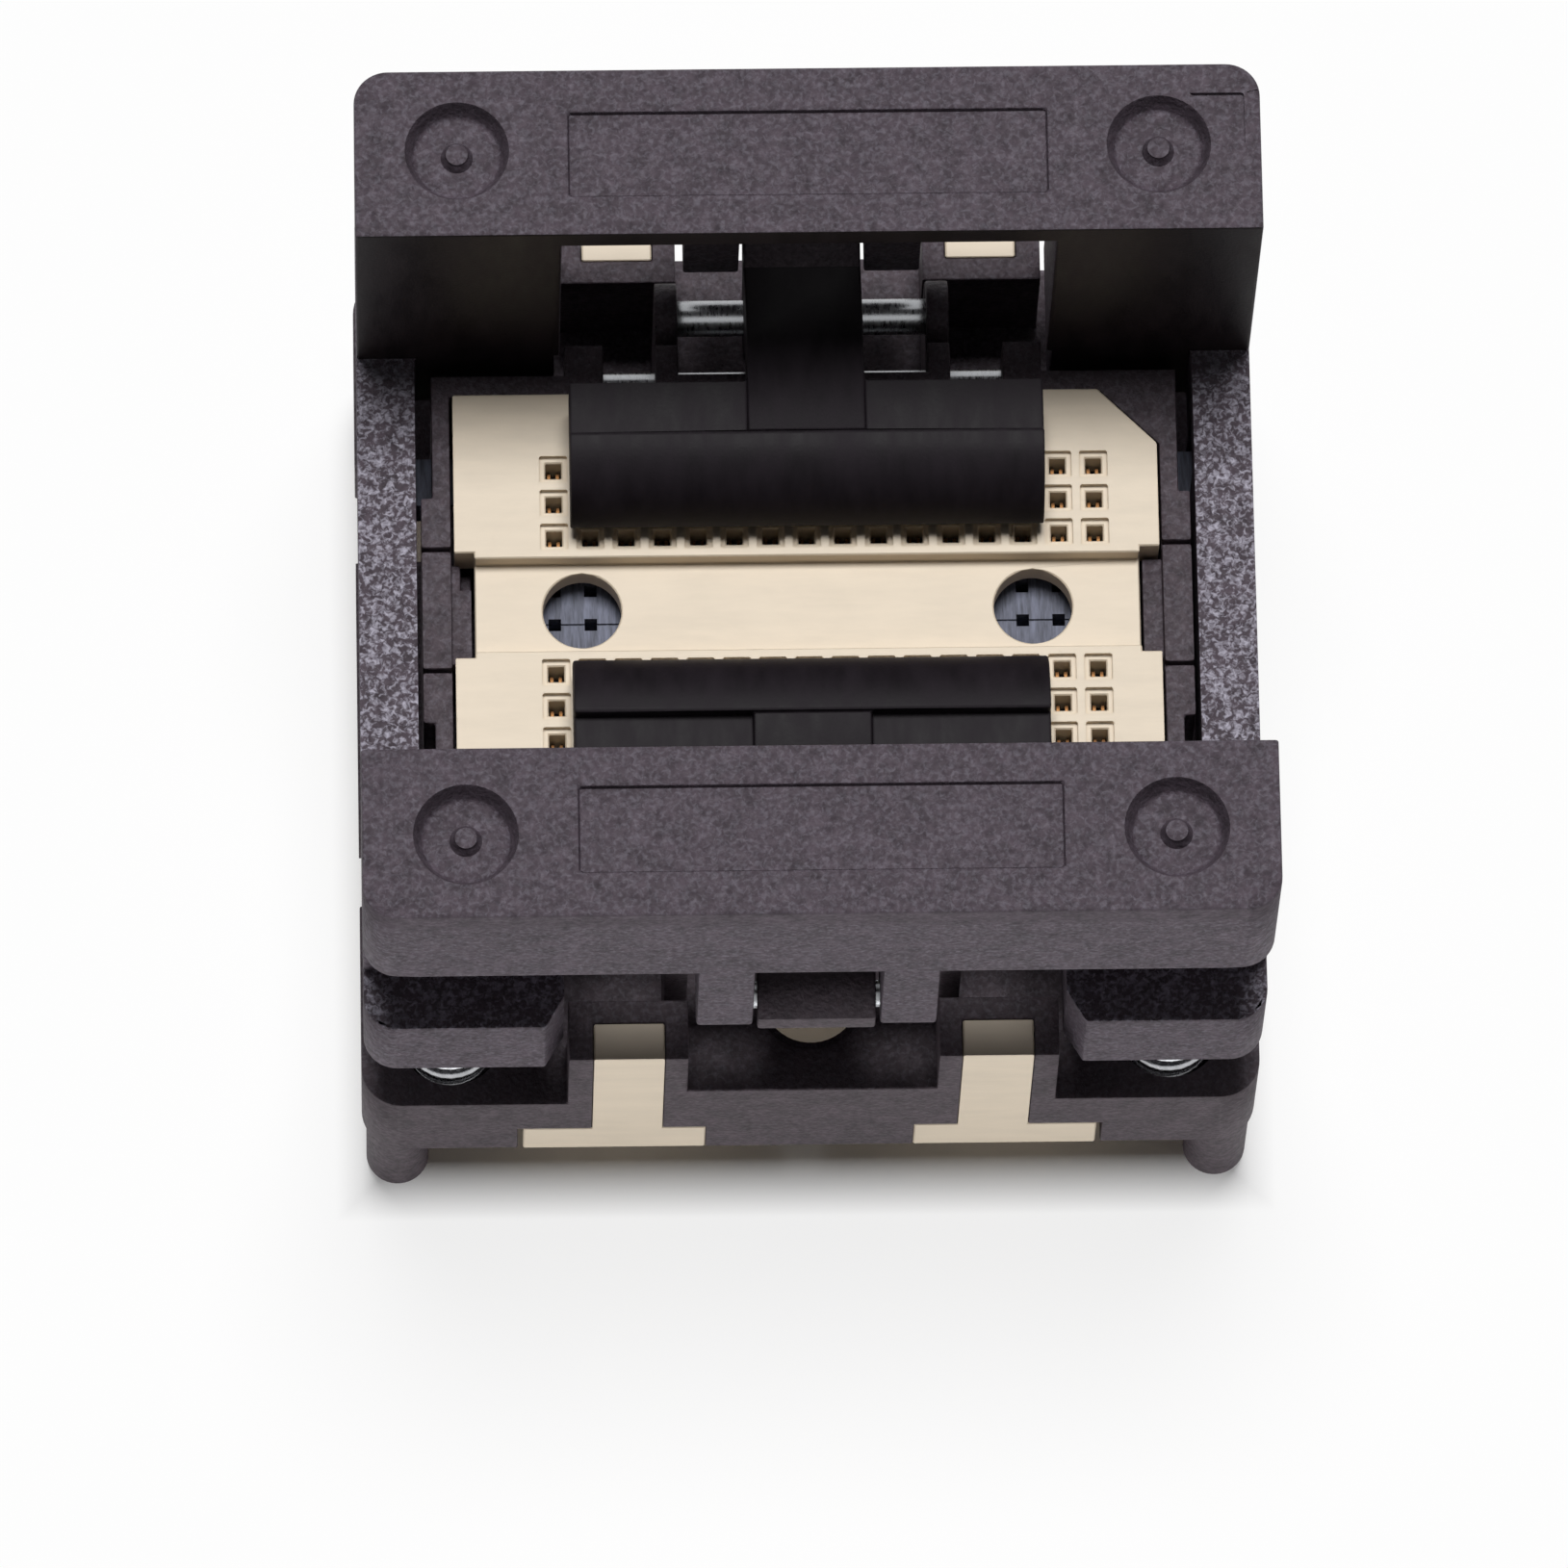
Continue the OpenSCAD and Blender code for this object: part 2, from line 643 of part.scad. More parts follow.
// Side outline of the latch flap: rounded nose and a lower shelf behind it
module flap_outline() {
    nose_y = shaft_y - nose_reach;
    nose_z = seat_z + nose_gap;
    intersection() {
        translate([nose_y, nose_z]) circle(nose_r, $fn = round_fn);
        translate([nose_y - 2 * nose_r, nose_z]) square([2 * nose_r, 2 * nose_r]);
    }
    polygon([[nose_y - eps, nose_z], [nose_y + 1.37, nose_z + 0.25], [nose_y + 1.37, nose_z + nose_r - 0.3],
        [nose_y + 0.1, nose_z + nose_r - 0.3], [nose_y + 0.1, nose_z + nose_r],
        [nose_y - eps, nose_z + nose_r]]);
}

// Side outline of the arm from the flap past the shaft to the tail
module arm_outline() {
    nose_y = shaft_y - nose_reach;
    nose_z = seat_z + nose_gap;
    polygon([[nose_y - 0.2, nose_z], [nose_y + 1.3, nose_z + 0.2], [shaft_y - 1.3, tub_z + 0.3],
        [shaft_y - 0.9, shaft_z], [shaft_y, shaft_z - 0.5], [cover_pin_y - 0.2, cover_pin_z - 0.7],
        [cover_pin_y + 0.5, cover_pin_z - 0.55], [cover_pin_y + 0.65, cover_pin_z - 0.4],
        [cover_pin_y + 0.65, cover_pin_z + 0.2], [cover_pin_y + 0.3, cover_pin_z + 0.5],
        [cover_pin_y - 0.2, cover_pin_z + 0.72], [shaft_y + 0.5, shaft_z + 1.85],
        [shaft_y - 1.5, shaft_z + 2.95], [nose_y - 0.2, nose_z + nose_r - 0.02]]);
    translate([shaft_y, shaft_z]) circle(0.95, $fn = round_fn);
}

// Slot in the tail that the cover pin slides along
module tail_slot() {
    far = norm([tail_reach, tail_rise]);
    near = tail_reach;
    slot_r = cover_pin_r + 0.09;
    translate([0, shaft_y, shaft_z]) rotate([atan2(tail_rise, tail_reach), 0, 0]) {
        cross_bar(far, 0, slot_r, arm_w + 1);
        cross_bar(near, 0, slot_r, arm_w + 1);
        box([-arm_w, near, -slot_r], [arm_w, far, slot_r]);
    }
}

module latch() color(gloss_black) difference() {
    union() {
        side_profile(latch_w) flap_outline();
        side_profile(arm_w) arm_outline();
    }
    cross_bar(shaft_y, shaft_z, shaft_r + pin_gap, arm_w + 1);
    tail_slot();
}

module latch_shaft() color(steel) cross_bar(shaft_y, shaft_z, shaft_r, 2 * arm_x0 - 0.16);

module retainer_pin() color(steel) cross_bar(retainer_y, retainer_z, retainer_r, 2 * wall_x1 - 0.7);

module cover_pin() color(steel) cross_bar(cover_pin_y, cover_pin_z, cover_pin_r, 2 * (ear_gap + ear_w));

module corner_spring(sx, sy) color(steel)
    translate([sx * spring_x, sy * spring_y, spring_z0])
        coil(spring_r, spring_wire, spring_z1 - spring_z0, spring_turns, 12, 6);

module seat_spring(sx, sy) color(steel)
    translate([sx * seat_spring_x, sy * seat_spring_y, seat_spring_z0])
        coil(seat_spring_r, seat_spring_wire, seat_spring_z1 - seat_spring_z0, seat_spring_turns, 8, 5);

base_housing();
contact_plate();
contact_row(1);  // contact_row_1
contact_row(2);  // contact_row_2
contact_row(3);  // contact_row_3
contact_row(4);  // contact_row_4
contact_row(5);  // contact_row_5
contact_row(6);  // contact_row_6
mirror([0, 1, 0]) latch_shaft();  // latch_shaft_front
latch_shaft();  // latch_shaft_rear
mirror([0, 1, 0]) retainer_pin();  // retainer_pin_front
retainer_pin();  // retainer_pin_rear
slider();
seat_plate();
seat_spring(-1, -1);  // seat_spring_fl
seat_spring(1, -1);  // seat_spring_fr
seat_spring(-1, 1);  // seat_spring_rl
seat_spring(1, 1);  // seat_spring_rr
cover();
mirror([0, 1, 0]) cover_pin();  // cover_pin_front
cover_pin();  // cover_pin_rear
mirror([0, 1, 0]) latch();  // latch_front
latch();  // latch_rear
corner_spring(-1, -1);  // spring_fl
corner_spring(1, -1);  // spring_fr
corner_spring(-1, 1);  // spring_rl
corner_spring(1, 1);  // spring_rr
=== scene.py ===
"""Looks of an open-top socket for a ball-grid chip package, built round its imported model.

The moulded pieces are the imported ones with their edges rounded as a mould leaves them, the springs
are wound as round wire, and each finish is a material of its own. Lengths in the settings are metres.
"""

import itertools
import json
import math

import bmesh
import bpy
from bpy.props import FloatProperty, FloatVectorProperty, IntProperty, PointerProperty
from mathutils import Matrix, Vector


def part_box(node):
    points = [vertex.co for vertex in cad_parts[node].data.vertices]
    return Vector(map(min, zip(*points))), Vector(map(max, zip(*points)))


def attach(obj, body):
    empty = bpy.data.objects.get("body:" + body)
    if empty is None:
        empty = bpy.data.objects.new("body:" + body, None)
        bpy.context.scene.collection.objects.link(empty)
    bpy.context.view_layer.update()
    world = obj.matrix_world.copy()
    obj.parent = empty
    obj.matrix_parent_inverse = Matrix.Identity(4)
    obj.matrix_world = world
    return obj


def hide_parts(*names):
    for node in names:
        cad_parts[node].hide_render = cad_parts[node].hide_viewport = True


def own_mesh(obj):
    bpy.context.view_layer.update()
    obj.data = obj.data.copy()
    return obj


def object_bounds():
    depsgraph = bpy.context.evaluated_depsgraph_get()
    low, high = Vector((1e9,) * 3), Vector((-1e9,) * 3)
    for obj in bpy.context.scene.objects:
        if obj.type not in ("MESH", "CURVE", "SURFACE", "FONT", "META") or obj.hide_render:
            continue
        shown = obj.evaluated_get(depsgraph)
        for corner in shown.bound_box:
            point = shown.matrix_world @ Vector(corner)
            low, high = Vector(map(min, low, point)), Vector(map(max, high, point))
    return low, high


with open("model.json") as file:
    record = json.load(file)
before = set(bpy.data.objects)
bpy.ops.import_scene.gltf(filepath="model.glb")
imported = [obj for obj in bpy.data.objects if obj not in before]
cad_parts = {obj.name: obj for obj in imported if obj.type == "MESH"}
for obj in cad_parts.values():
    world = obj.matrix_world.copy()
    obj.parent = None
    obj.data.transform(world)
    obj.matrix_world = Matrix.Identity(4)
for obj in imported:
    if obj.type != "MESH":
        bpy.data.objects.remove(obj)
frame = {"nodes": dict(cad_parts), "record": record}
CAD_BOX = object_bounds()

bl_info = {
    "name": "Ball-grid socket looks",
    "version": (1, 0, 0),
    "blender": (4, 5, 0),
    "location": "3D View > Sidebar > Socket",
    "description": "Finishes the moulded pieces, springs, pins and contacts of an open-top socket",
    "category": "Object",
}

MM = 0.001
CORNERS = ("fl", "fr", "rl", "rr")
ENDS = ("front", "rear")
# How far out the inner faces of the bars lie, and how close to that a face lies on them
BAR_INNER_Y = 5.95 * MM
FLUSH = 0.02 * MM
# How far out a latch turns from its smooth arm to its dull tail
LATCH_TAIL_Y = 8.1 * MM
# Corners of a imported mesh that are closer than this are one
MERGE = 0.0005 * MM
# Faces that turn by more than this meet in an edge, and edges closer than NARROW in a narrow point
SHARP = math.radians(32)
NARROW = math.radians(50)
PIN_EDGE = 0.05 * MM
PIN_STEPS = 2
# Sections in a turn of a spring, and flats round its wire
TURN_STEPS = 28
WIRE_SIDES = 10
# How far the floor lies under the locating pins
FLOOR_GAP = 0.02 * MM
# How far out the floor begins to look white, and where it has turned white
SHADE_EDGE = 9.2 * MM
SHADE_END = 10.6 * MM


def linear(code):
    """Linear red, green and blue of an sRGB hex colour."""
    parts = [(code >> shift & 255) / 255 for shift in (16, 8, 0)]
    return tuple(c / 12.92 if c <= 0.04045 else ((c + 0.055) / 1.055) ** 2.4 for c in parts)


def colour_setting(label, about, code):
    """A colour that a user can change, from its sRGB hex value."""
    return FloatVectorProperty(
        name=label, description=about, subtype="COLOR", size=3, min=0, max=1, default=linear(code)
    )


def length_setting(label, about, value):
    """A length that a user can change, given in millimetres."""
    return FloatProperty(
        name=label, description=about, subtype="DISTANCE", unit="LENGTH", default=value * MM
    )


class SocketMouldSettings(bpy.types.PropertyGroup):
    """Edges and colours of the moulded pieces."""

    cover_edge: length_setting("Cover edge", "Rounding of the edges of the press cover", 0.07)
    base_edge: length_setting("Base edge", "Rounding of the edges of the base", 0.05)
    latch_edge: length_setting("Latch edge", "Rounding of the edges of a latch", 0.06)
    cream_edge: length_setting("Pale edge", "Rounding of the edges of the pale pieces", 0.03)
    edge_steps: IntProperty(name="Edge steps", description="Flats across a rounded edge", default=2, min=1)
    cover_colour: colour_setting("Cover", "Charcoal of the press cover", 0x453C44)
    base_colour: colour_setting("Base", "Charcoal of the base", 0x41383E)
    # Colour of the painted glints of the glass fibre ends
    fibre_glint_colour: colour_setting("Flakes", "Pale ends of the glass fibres", 0xB0ACBA)
    latch_colour: colour_setting("Latch", "Smooth black of the latches", 0x1A161A)
    # Darker than the cover's charcoal: the smooth finish of the inner faces, with the shade that falls on
    # them painted in
    bar_wall_shade_colour: colour_setting("Bar walls", "Smooth black of the inner faces of the bars", 0x191416)
    slider_colour: colour_setting("Slider", "Grey of the slider plate", 0x565968)
    cream_colour: colour_setting("Pale resin", "Cream of the seat and of the contact plate", 0xDACBB5)


class SocketMetalSettings(bpy.types.PropertyGroup):
    """Springs, pins and contacts."""

    spring_wire: length_setting("Corner wire", "Wire diameter of the corner springs", 0.25)
    spring_turns: FloatProperty(name="Corner turns", description="Turns of a corner spring", default=9)
    seat_wire: length_setting("Seat wire", "Wire diameter of the seat springs", 0.14)
    seat_turns: FloatProperty(name="Seat turns", description="Turns of a seat spring", default=6)
    wire_colour: colour_setting("Wire", "Colour of the spring wire", 0xB9BABD)
    pin_colour: colour_setting("Pins", "Colour of the steel pins", 0xA9ABAE)
    # Gold darkened to brown, which paints the shade inside the holes that the contacts sit in
    gold_with_painted_shade: colour_setting("Gold", "Colour of the plated contacts", 0x4E3620)


class SocketStageSettings(bpy.types.PropertyGroup):
    """Camera, floor and lamps."""

    aim: FloatVectorProperty(
        name="Aim", description="Point that the camera looks at", subtype="TRANSLATION", unit="LENGTH",
        default=(-0.579 * MM, -3.822 * MM, 7.0 * MM),
    )
    distance: length_setting("Distance", "From the aim to the camera", 407.8)
    azimuth: FloatProperty(name="Azimuth", description="Degrees round from the front", default=-4.137)
    elevation: FloatProperty(name="Elevation", description="Degrees above the floor", default=70.238)
    roll: FloatProperty(name="Roll", description="Degrees of turn about the camera's view", default=3.272)
    lens: FloatProperty(name="Lens", description="Millimetres on a 36 mm sensor", default=422.8)
    floor_colour: colour_setting("Floor", "Colour of the floor and the backdrop", 0xFEFEFE)
    overhead: FloatProperty(name="Overhead lamp", description="Strength of the lamp above", default=3.0)
    bounce: FloatProperty(name="Bounce lamp", description="Strength of the light off the table", default=1.3)
    fill: FloatProperty(name="Fill", description="Strength of the light from all round", default=0.025)


def add_node(tree, kind, settings=None, inputs=None):
    """Adds a shader node with its settings. Each input takes a value, or the output that feeds it, and a
    node stands for its own first output."""
    new = tree.nodes.new("ShaderNode" + kind)
    for name, value in (settings or {}).items():
        setattr(new, name, value)
    for name, value in (inputs or {}).items():
        if isinstance(name, str):
            socket = next(s for s in new.inputs if s.enabled and s.name == name)
        else:
            socket = new.inputs[name]
        if isinstance(value, bpy.types.Node):
            value = next(s for s in value.outputs if s.enabled)
        if isinstance(value, bpy.types.NodeSocket):
            tree.links.new(value, socket)
        else:
            socket.default_value = value
    return new


def new_material(name):
    """An empty node material, and its tree."""
    material = bpy.data.materials.new(name)
    material.use_nodes = True
    material.node_tree.nodes.clear()
    return material, material.node_tree


def finish_material(tree, inputs):
    """Ends a material with a Principled shader."""
    shader = add_node(tree, "BsdfPrincipled", inputs=inputs)
    add_node(tree, "OutputMaterial", inputs={"Surface": shader})


def rgba(colour):
    """A colour with an alpha of one."""
    return (*colour[:3], 1.0)


def shade(colour, share):
    """A colour made darker or lighter by a share, with an alpha of one."""
    return rgba([min(1.0, c * share) for c in colour[:3]])


def spark_eroded_resin(name, colour, fibre_glint_colour, fibre_glint_share, roughness):
    """Glass-filled polyetherimide from a spark-eroded mould: dull charcoal, softly blotched, with a gritty
    skin. The glints of the ends of the short glass fibres are painted into the colour as pale specks, on the
    faces that look up towards the lamp above."""
    material, tree = new_material(name)
    coords = add_node(tree, "TexCoord").outputs["Object"]
    # Blotches 0.4 mm across, where the melt cooled unevenly
    blotch = add_node(
        tree, "TexNoise",
        inputs={"Vector": coords, "Scale": 1 / (0.42 * MM), "Detail": 3.0, "Roughness": 0.6},
    )
    blotches = add_node(tree, "MapRange", inputs={"Value": blotch, "From Min": 0.3, "From Max": 0.7})
    # Pits of the eroded mould, drawn at 0.13 mm, about four times too coarse, so that they show
    pit = add_node(
        tree, "TexNoise",
        inputs={"Vector": coords, "Scale": 1 / (0.13 * MM), "Detail": 2.0, "Roughness": 0.6},
    )
    pits = add_node(tree, "MapRange", inputs={"Value": pit, "From Min": 0.3, "From Max": 0.7})
    both = add_node(tree, "Mix", {"data_type": "FLOAT"}, {"Factor": 0.3, "A": blotches, "B": pits})
    dull = add_node(
        tree, "Mix", {"data_type": "RGBA"},
        {"Factor": both, "A": shade(colour, 0.5), "B": shade(colour, 1.42)},
    )
    # Painted glints of the fibre ends, 0.015 mm across and in clusters, drawn as clusters of 0.12 mm
    cluster = add_node(
        tree, "TexNoise",
        inputs={
            "Vector": coords, "Scale": 1 / (0.12 * MM), "Detail": 2.0, "Roughness": 0.6, "Distortion": 0.6,
        },
    )
    clusters = add_node(tree, "MapRange", inputs={"Value": cluster, "From Min": 0.45, "From Max": 0.72})
    # The painted glints show only on faces that look up, where the lamp above falls
    facing = add_node(tree, "NewGeometry").outputs["Normal"]
    normal = add_node(tree, "SeparateXYZ", inputs={"Vector": facing})
    faces_lit_from_above = add_node(
        tree, "MapRange",
        inputs={"Value": normal.outputs["Z"], "From Min": 0.3, "From Max": 0.8, "To Min": 0.15},
    )
    # Fewer painted glints on the bar tops than on the rails below them
    place = add_node(tree, "SeparateXYZ", inputs={"Vector": coords})
    low = add_node(
        tree, "MapRange",
        inputs={
            "Value": place.outputs["Z"], "From Min": 14.6 * MM, "From Max": 14.9 * MM,
            "To Min": fibre_glint_share, "To Max": fibre_glint_share * 0.16,
        },
    )
    # How much painted glint a face shows
    shown = add_node(tree, "Math", {"operation": "MULTIPLY"}, {0: faces_lit_from_above, 1: low})
    painted_glints = add_node(tree, "Math", {"operation": "MULTIPLY"}, {0: clusters, 1: shown})
    skin = add_node(
        tree, "Mix", {"data_type": "RGBA"}, {"Factor": painted_glints, "A": dull, "B": rgba(fibre_glint_colour)}
    )
    relief = add_node(tree, "Bump", inputs={"Strength": 1.0, "Distance": 0.012 * MM, "Height": pits})
    gloss = add_node(
        tree, "MapRange", inputs={"Value": pits, "To Min": roughness + 0.08, "To Max": roughness - 0.08}
    )
    finish_material(
        tree,
        {"Base Color": skin, "Normal": relief, "Roughness": gloss, "IOR": 1.6, "Specular IOR Level": 0.15},
    )
    return material


def polished_resin(name, colour, roughness):
    """Glass-filled resin from a polished mould: smooth black with faint flow marks and a satin gloss."""
    material, tree = new_material(name)
    coords = add_node(tree, "TexCoord").outputs["Object"]
    # Flow marks, 0.5 mm apart, drawn out along the way that the melt ran
    flow = add_node(tree, "Mapping", inputs={"Vector": coords, "Scale": (1.0, 0.3, 0.3)})
    mark = add_node(
        tree, "TexNoise", inputs={"Vector": flow, "Scale": 1 / (0.5 * MM), "Detail": 4.0, "Roughness": 0.6}
    )
    marks = add_node(tree, "MapRange", inputs={"Value": mark, "From Min": 0.3, "From Max": 0.7})
    skin = add_node(
        tree, "Mix", {"data_type": "RGBA"},
        {"Factor": marks, "A": shade(colour, 0.7), "B": shade(colour, 1.4)},
    )
    grain = add_node(
        tree, "TexNoise",
        inputs={"Vector": coords, "Scale": 1 / (0.09 * MM), "Detail": 2.0, "Roughness": 0.6},
    )
    relief = add_node(tree, "Bump", inputs={"Strength": 0.7, "Distance": 0.005 * MM, "Height": grain})
    gloss = add_node(
        tree, "MapRange", inputs={"Value": marks, "To Min": roughness - 0.07, "To Max": roughness + 0.07}
    )
    finish_material(
        tree,
        {"Base Color": skin, "Normal": relief, "Roughness": gloss, "IOR": 1.6, "Specular IOR Level": 0.06},
    )
    return material


def liquid_crystal_polymer(name, colour):
    """Natural liquid crystal polymer, moulded: warm cream, faintly clouded and streaked where the melt
    flowed, with a waxy, satin surface."""
    material, tree = new_material(name)
    coords = add_node(tree, "TexCoord").outputs["Object"]
    # Clouds, 2.4 mm across
    cloud = add_node(
        tree, "TexNoise",
        inputs={"Vector": coords, "Scale": 1 / (2.4 * MM), "Detail": 3.0, "Roughness": 0.6},
    )
    clouds = add_node(tree, "MapRange", inputs={"Value": cloud, "From Min": 0.35, "From Max": 0.7})
    # Streaks, 0.35 mm apart and five times as long
    flow = add_node(tree, "Mapping", inputs={"Vector": coords, "Scale": (0.18, 1.0, 1.0)})
    streak = add_node(
        tree, "TexNoise",
        inputs={"Vector": flow, "Scale": 1 / (0.35 * MM), "Detail": 4.0, "Roughness": 0.6},
    )
    streaks = add_node(tree, "MapRange", inputs={"Value": streak, "From Min": 0.35, "From Max": 0.75})
    warm = add_node(
        tree, "Mix", {"data_type": "RGBA"}, {"Factor": clouds, "A": rgba(colour), "B": shade(colour, 0.93)}
    )
    skin = add_node(
        tree, "Mix", {"data_type": "RGBA"}, {"Factor": streaks, "A": warm, "B": shade(colour, 1.05)}
    )
    grain = add_node(
        tree, "TexNoise",
        inputs={"Vector": coords, "Scale": 1 / (0.12 * MM), "Detail": 2.0, "Roughness": 0.6},
    )
    relief = add_node(tree, "Bump", inputs={"Strength": 0.5, "Distance": 0.004 * MM, "Height": grain})
    finish_material(
        tree,
        {"Base Color": skin, "Normal": relief, "Roughness": 0.5, "IOR": 1.66, "Specular IOR Level": 0.3},
    )
    return material


def fibre_streaked_resin(name, colour):
    """Carbon-filled resin, moulded in a thin plate: blue grey, with short fibres that lie along the flow,
    drawn as fine paler and darker streaks in the colour, the paler ones a painted glint."""
    material, tree = new_material(name)
    coords = add_node(tree, "TexCoord").outputs["Object"]
    # Bundles of fibres, 0.1 mm apart and eight times as long; the paler streaks are painted glints
    flow = add_node(tree, "Mapping", inputs={"Vector": coords, "Scale": (1.0, 0.12, 1.0)})
    bundle = add_node(
        tree, "TexNoise", inputs={"Vector": flow, "Scale": 1 / (0.1 * MM), "Detail": 3.0, "Roughness": 0.6}
    )
    bundles = add_node(tree, "MapRange", inputs={"Value": bundle, "From Min": 0.36, "From Max": 0.68})
    skin = add_node(
        tree, "Mix", {"data_type": "RGBA"},
        {"Factor": bundles, "A": shade(colour, 0.6), "B": shade(colour, 1.7)},
    )
    relief = add_node(tree, "Bump", inputs={"Strength": 0.7, "Distance": 0.006 * MM, "Height": bundles})
    finish_material(
        tree,
        {"Base Color": skin, "Normal": relief, "Roughness": 0.55, "IOR": 1.6, "Specular IOR Level": 0.2},
    )
    return material


def drawn_metal(name, colour, roughness, stretch):
    """Drawn or ground metal: bright, with fine marks left along the way it was worked."""
    material, tree = new_material(name)
    coords = add_node(tree, "TexCoord").outputs["Object"]
    # Marks of the die or the wheel, a few hundredths of a millimetre apart, drawn at 0.06 mm
    along = add_node(tree, "Mapping", inputs={"Vector": coords, "Scale": stretch})
    mark = add_node(
        tree, "TexNoise",
        inputs={"Vector": along, "Scale": 1 / (0.06 * MM), "Detail": 3.0, "Roughness": 0.6},
    )
    marks = add_node(tree, "MapRange", inputs={"Value": mark, "From Min": 0.3, "From Max": 0.7})
    skin = add_node(
        tree, "Mix", {"data_type": "RGBA"},
        {"Factor": marks, "A": shade(colour, 0.75), "B": shade(colour, 1.1)},
    )
    gloss = add_node(
        tree, "MapRange", inputs={"Value": marks, "To Min": roughness - 0.08, "To Max": roughness + 0.08}
    )
    finish_material(tree, {"Base Color": skin, "Roughness": gloss, "Metallic": 1.0})
    return material


def set_material(piece, material):
    """Puts one material on the whole piece."""
    piece.data.materials.clear()
    piece.data.materials.append(material)


def body_of(node):
    """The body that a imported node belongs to."""
    return next(b for b, nodes in frame["record"]["behaviour"]["bodies"].items() if node in nodes)


def finished_mesh(name, shape):
    """The mesh of a shape that needs no more work."""
    mesh = bpy.data.meshes.new(name)
    shape.to_mesh(mesh)
    shape.free()
    return mesh


def stand_in(name, shape, node, material):
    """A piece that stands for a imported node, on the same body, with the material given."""
    piece = bpy.data.objects.new(name, finished_mesh(name, shape))
    bpy.context.scene.collection.objects.link(piece)
    set_material(piece, material)
    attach(piece, body_of(node))
    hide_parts(node)
    return piece


def edges_to_round(shape, radius):
    """The sharp edges of a shape that leave room for a radius. Those of engraved marks don't: they run into
    narrow points, or lie close together."""
    sharp = [e for e in shape.edges if len(e.link_faces) == 2 and e.calc_face_angle() > SHARP]
    ways = {}
    for edge in sharp:
        for vert in edge.verts:
            ways.setdefault(vert, []).append(edge.other_vert(vert).co - vert.co)
    tight = {
        vert for vert, out in ways.items()
        if any(a.angle(b) < NARROW for a, b in itertools.combinations(out, 2))
        or min(e.calc_length() for e in vert.link_edges) <= radius
    }
    return [e for e in sharp if not tight.intersection(e.verts)]


def soften(node, material, radius, steps):
    """Stands a copy of a moulded node, with its edges rounded as its mould left them, in its place."""
    shape = bmesh.new()
    shape.from_mesh(frame["nodes"][node].data)
    bmesh.ops.remove_doubles(shape, verts=shape.verts, dist=MERGE)
    shape.normal_update()
    edges = edges_to_round(shape, radius)
    bmesh.ops.bevel(
        shape, geom=edges, offset=radius, offset_type="OFFSET", segments=steps, profile=0.5,
        affect="EDGES", clamp_overlap=False, material=-1, loop_slide=True,
    )
    low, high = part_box(node)
    for vert in shape.verts:
        vert.co = [min(max(c, a), b) for c, a, b in zip(vert.co, low, high)]
    for face in shape.faces:
        face.smooth = True
    for edge in shape.edges:
        edge.smooth = len(edge.link_faces) == 2 and edge.calc_face_angle(math.pi) < SHARP
    piece = stand_in(node + "_moulded", shape, node, material)
    weighted = piece.modifiers.new("Flat faces stay flat", "WEIGHTED_NORMAL")
    weighted.keep_sharp = True
    return piece


def helix(radius, wire, height, turns):
    """A spring of round wire, standing on the origin, with its first and last turn closed up."""
    shape = bmesh.new()
    rise = (height - 2 * wire) / (turns - 2)

    def level(turn):
        """How high the middle of the wire lies after that many turns."""
        low = wire / 2 + min(turn, 1) * wire / 2
        middle = max(0, min(turn, turns - 1) - 1) * rise
        top = max(0, turn - (turns - 1)) * wire / 2
        return low + middle + top

    ring = bmesh.ops.create_circle(shape, segments=WIRE_SIDES, radius=wire / 2, cap_ends=True)["verts"]
    bmesh.ops.rotate(shape, verts=ring, cent=(0, 0, 0), matrix=Matrix.Rotation(math.pi / 2, 3, "X"))
    bmesh.ops.translate(shape, verts=ring, vec=(radius - wire / 2, 0, level(0)))
    step = Matrix.Rotation(2 * math.pi / TURN_STEPS, 3, "Z")
    front = list(shape.edges)
    for i in range(1, round(turns * TURN_STEPS) + 1):
        grown = bmesh.ops.extrude_edge_only(shape, edges=front)["geom"]
        verts = [g for g in grown if isinstance(g, bmesh.types.BMVert)]
        front = [g for g in grown if isinstance(g, bmesh.types.BMEdge)]
        bmesh.ops.rotate(shape, verts=verts, cent=(0, 0, 0), matrix=step)
        climb = level(i / TURN_STEPS) - level((i - 1) / TURN_STEPS)
        bmesh.ops.translate(shape, verts=verts, vec=(0, 0, climb))
    bmesh.ops.contextual_create(shape, geom=front)
    bmesh.ops.recalc_face_normals(shape, faces=shape.faces)
    for face in shape.faces:
        face.smooth = len(face.verts) == 4
    return shape


def wind_spring(node, wire, turns, material):
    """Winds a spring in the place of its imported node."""
    low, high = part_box(node)
    middle = (low + high) / 2
    foot = (middle.x, middle.y, low.z)
    height = high.z - low.z
    shape = helix((high.x - low.x) / 2, wire, height, turns)
    bmesh.ops.translate(shape, verts=shape.verts, vec=foot)
    piece = stand_in(node + "_wound", shape, node, material)
    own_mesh(piece)


class SOCKET_OT_cover(bpy.types.Operator):
    """Round the edges of the press cover and give it its gritty charcoal finish"""

    bl_idname = "socket.cover"
    bl_label = "Press cover"

    def execute(self, context):
        mould = context.scene.socket_mould
        resin = spark_eroded_resin(
            "Cover_spark_eroded_polyetherimide", mould.cover_colour, mould.fibre_glint_colour,
            fibre_glint_share=1.0, roughness=0.66,
        )
        # The inner faces of the bars take a smooth black that also paints the shade falling on them
        shaded_walls = polished_resin("Bar_walls_polished_with_painted_shade", mould.bar_wall_shade_colour, roughness=0.45)
        piece = soften("cover", resin, mould.cover_edge, mould.edge_steps)
        piece.data.materials.append(shaded_walls)
        for face in piece.data.polygons:
            if abs(face.normal.y) > 0.9 and abs(abs(face.center.y) - BAR_INNER_Y) < FLUSH:
                face.material_index = 1
        return {"FINISHED"}


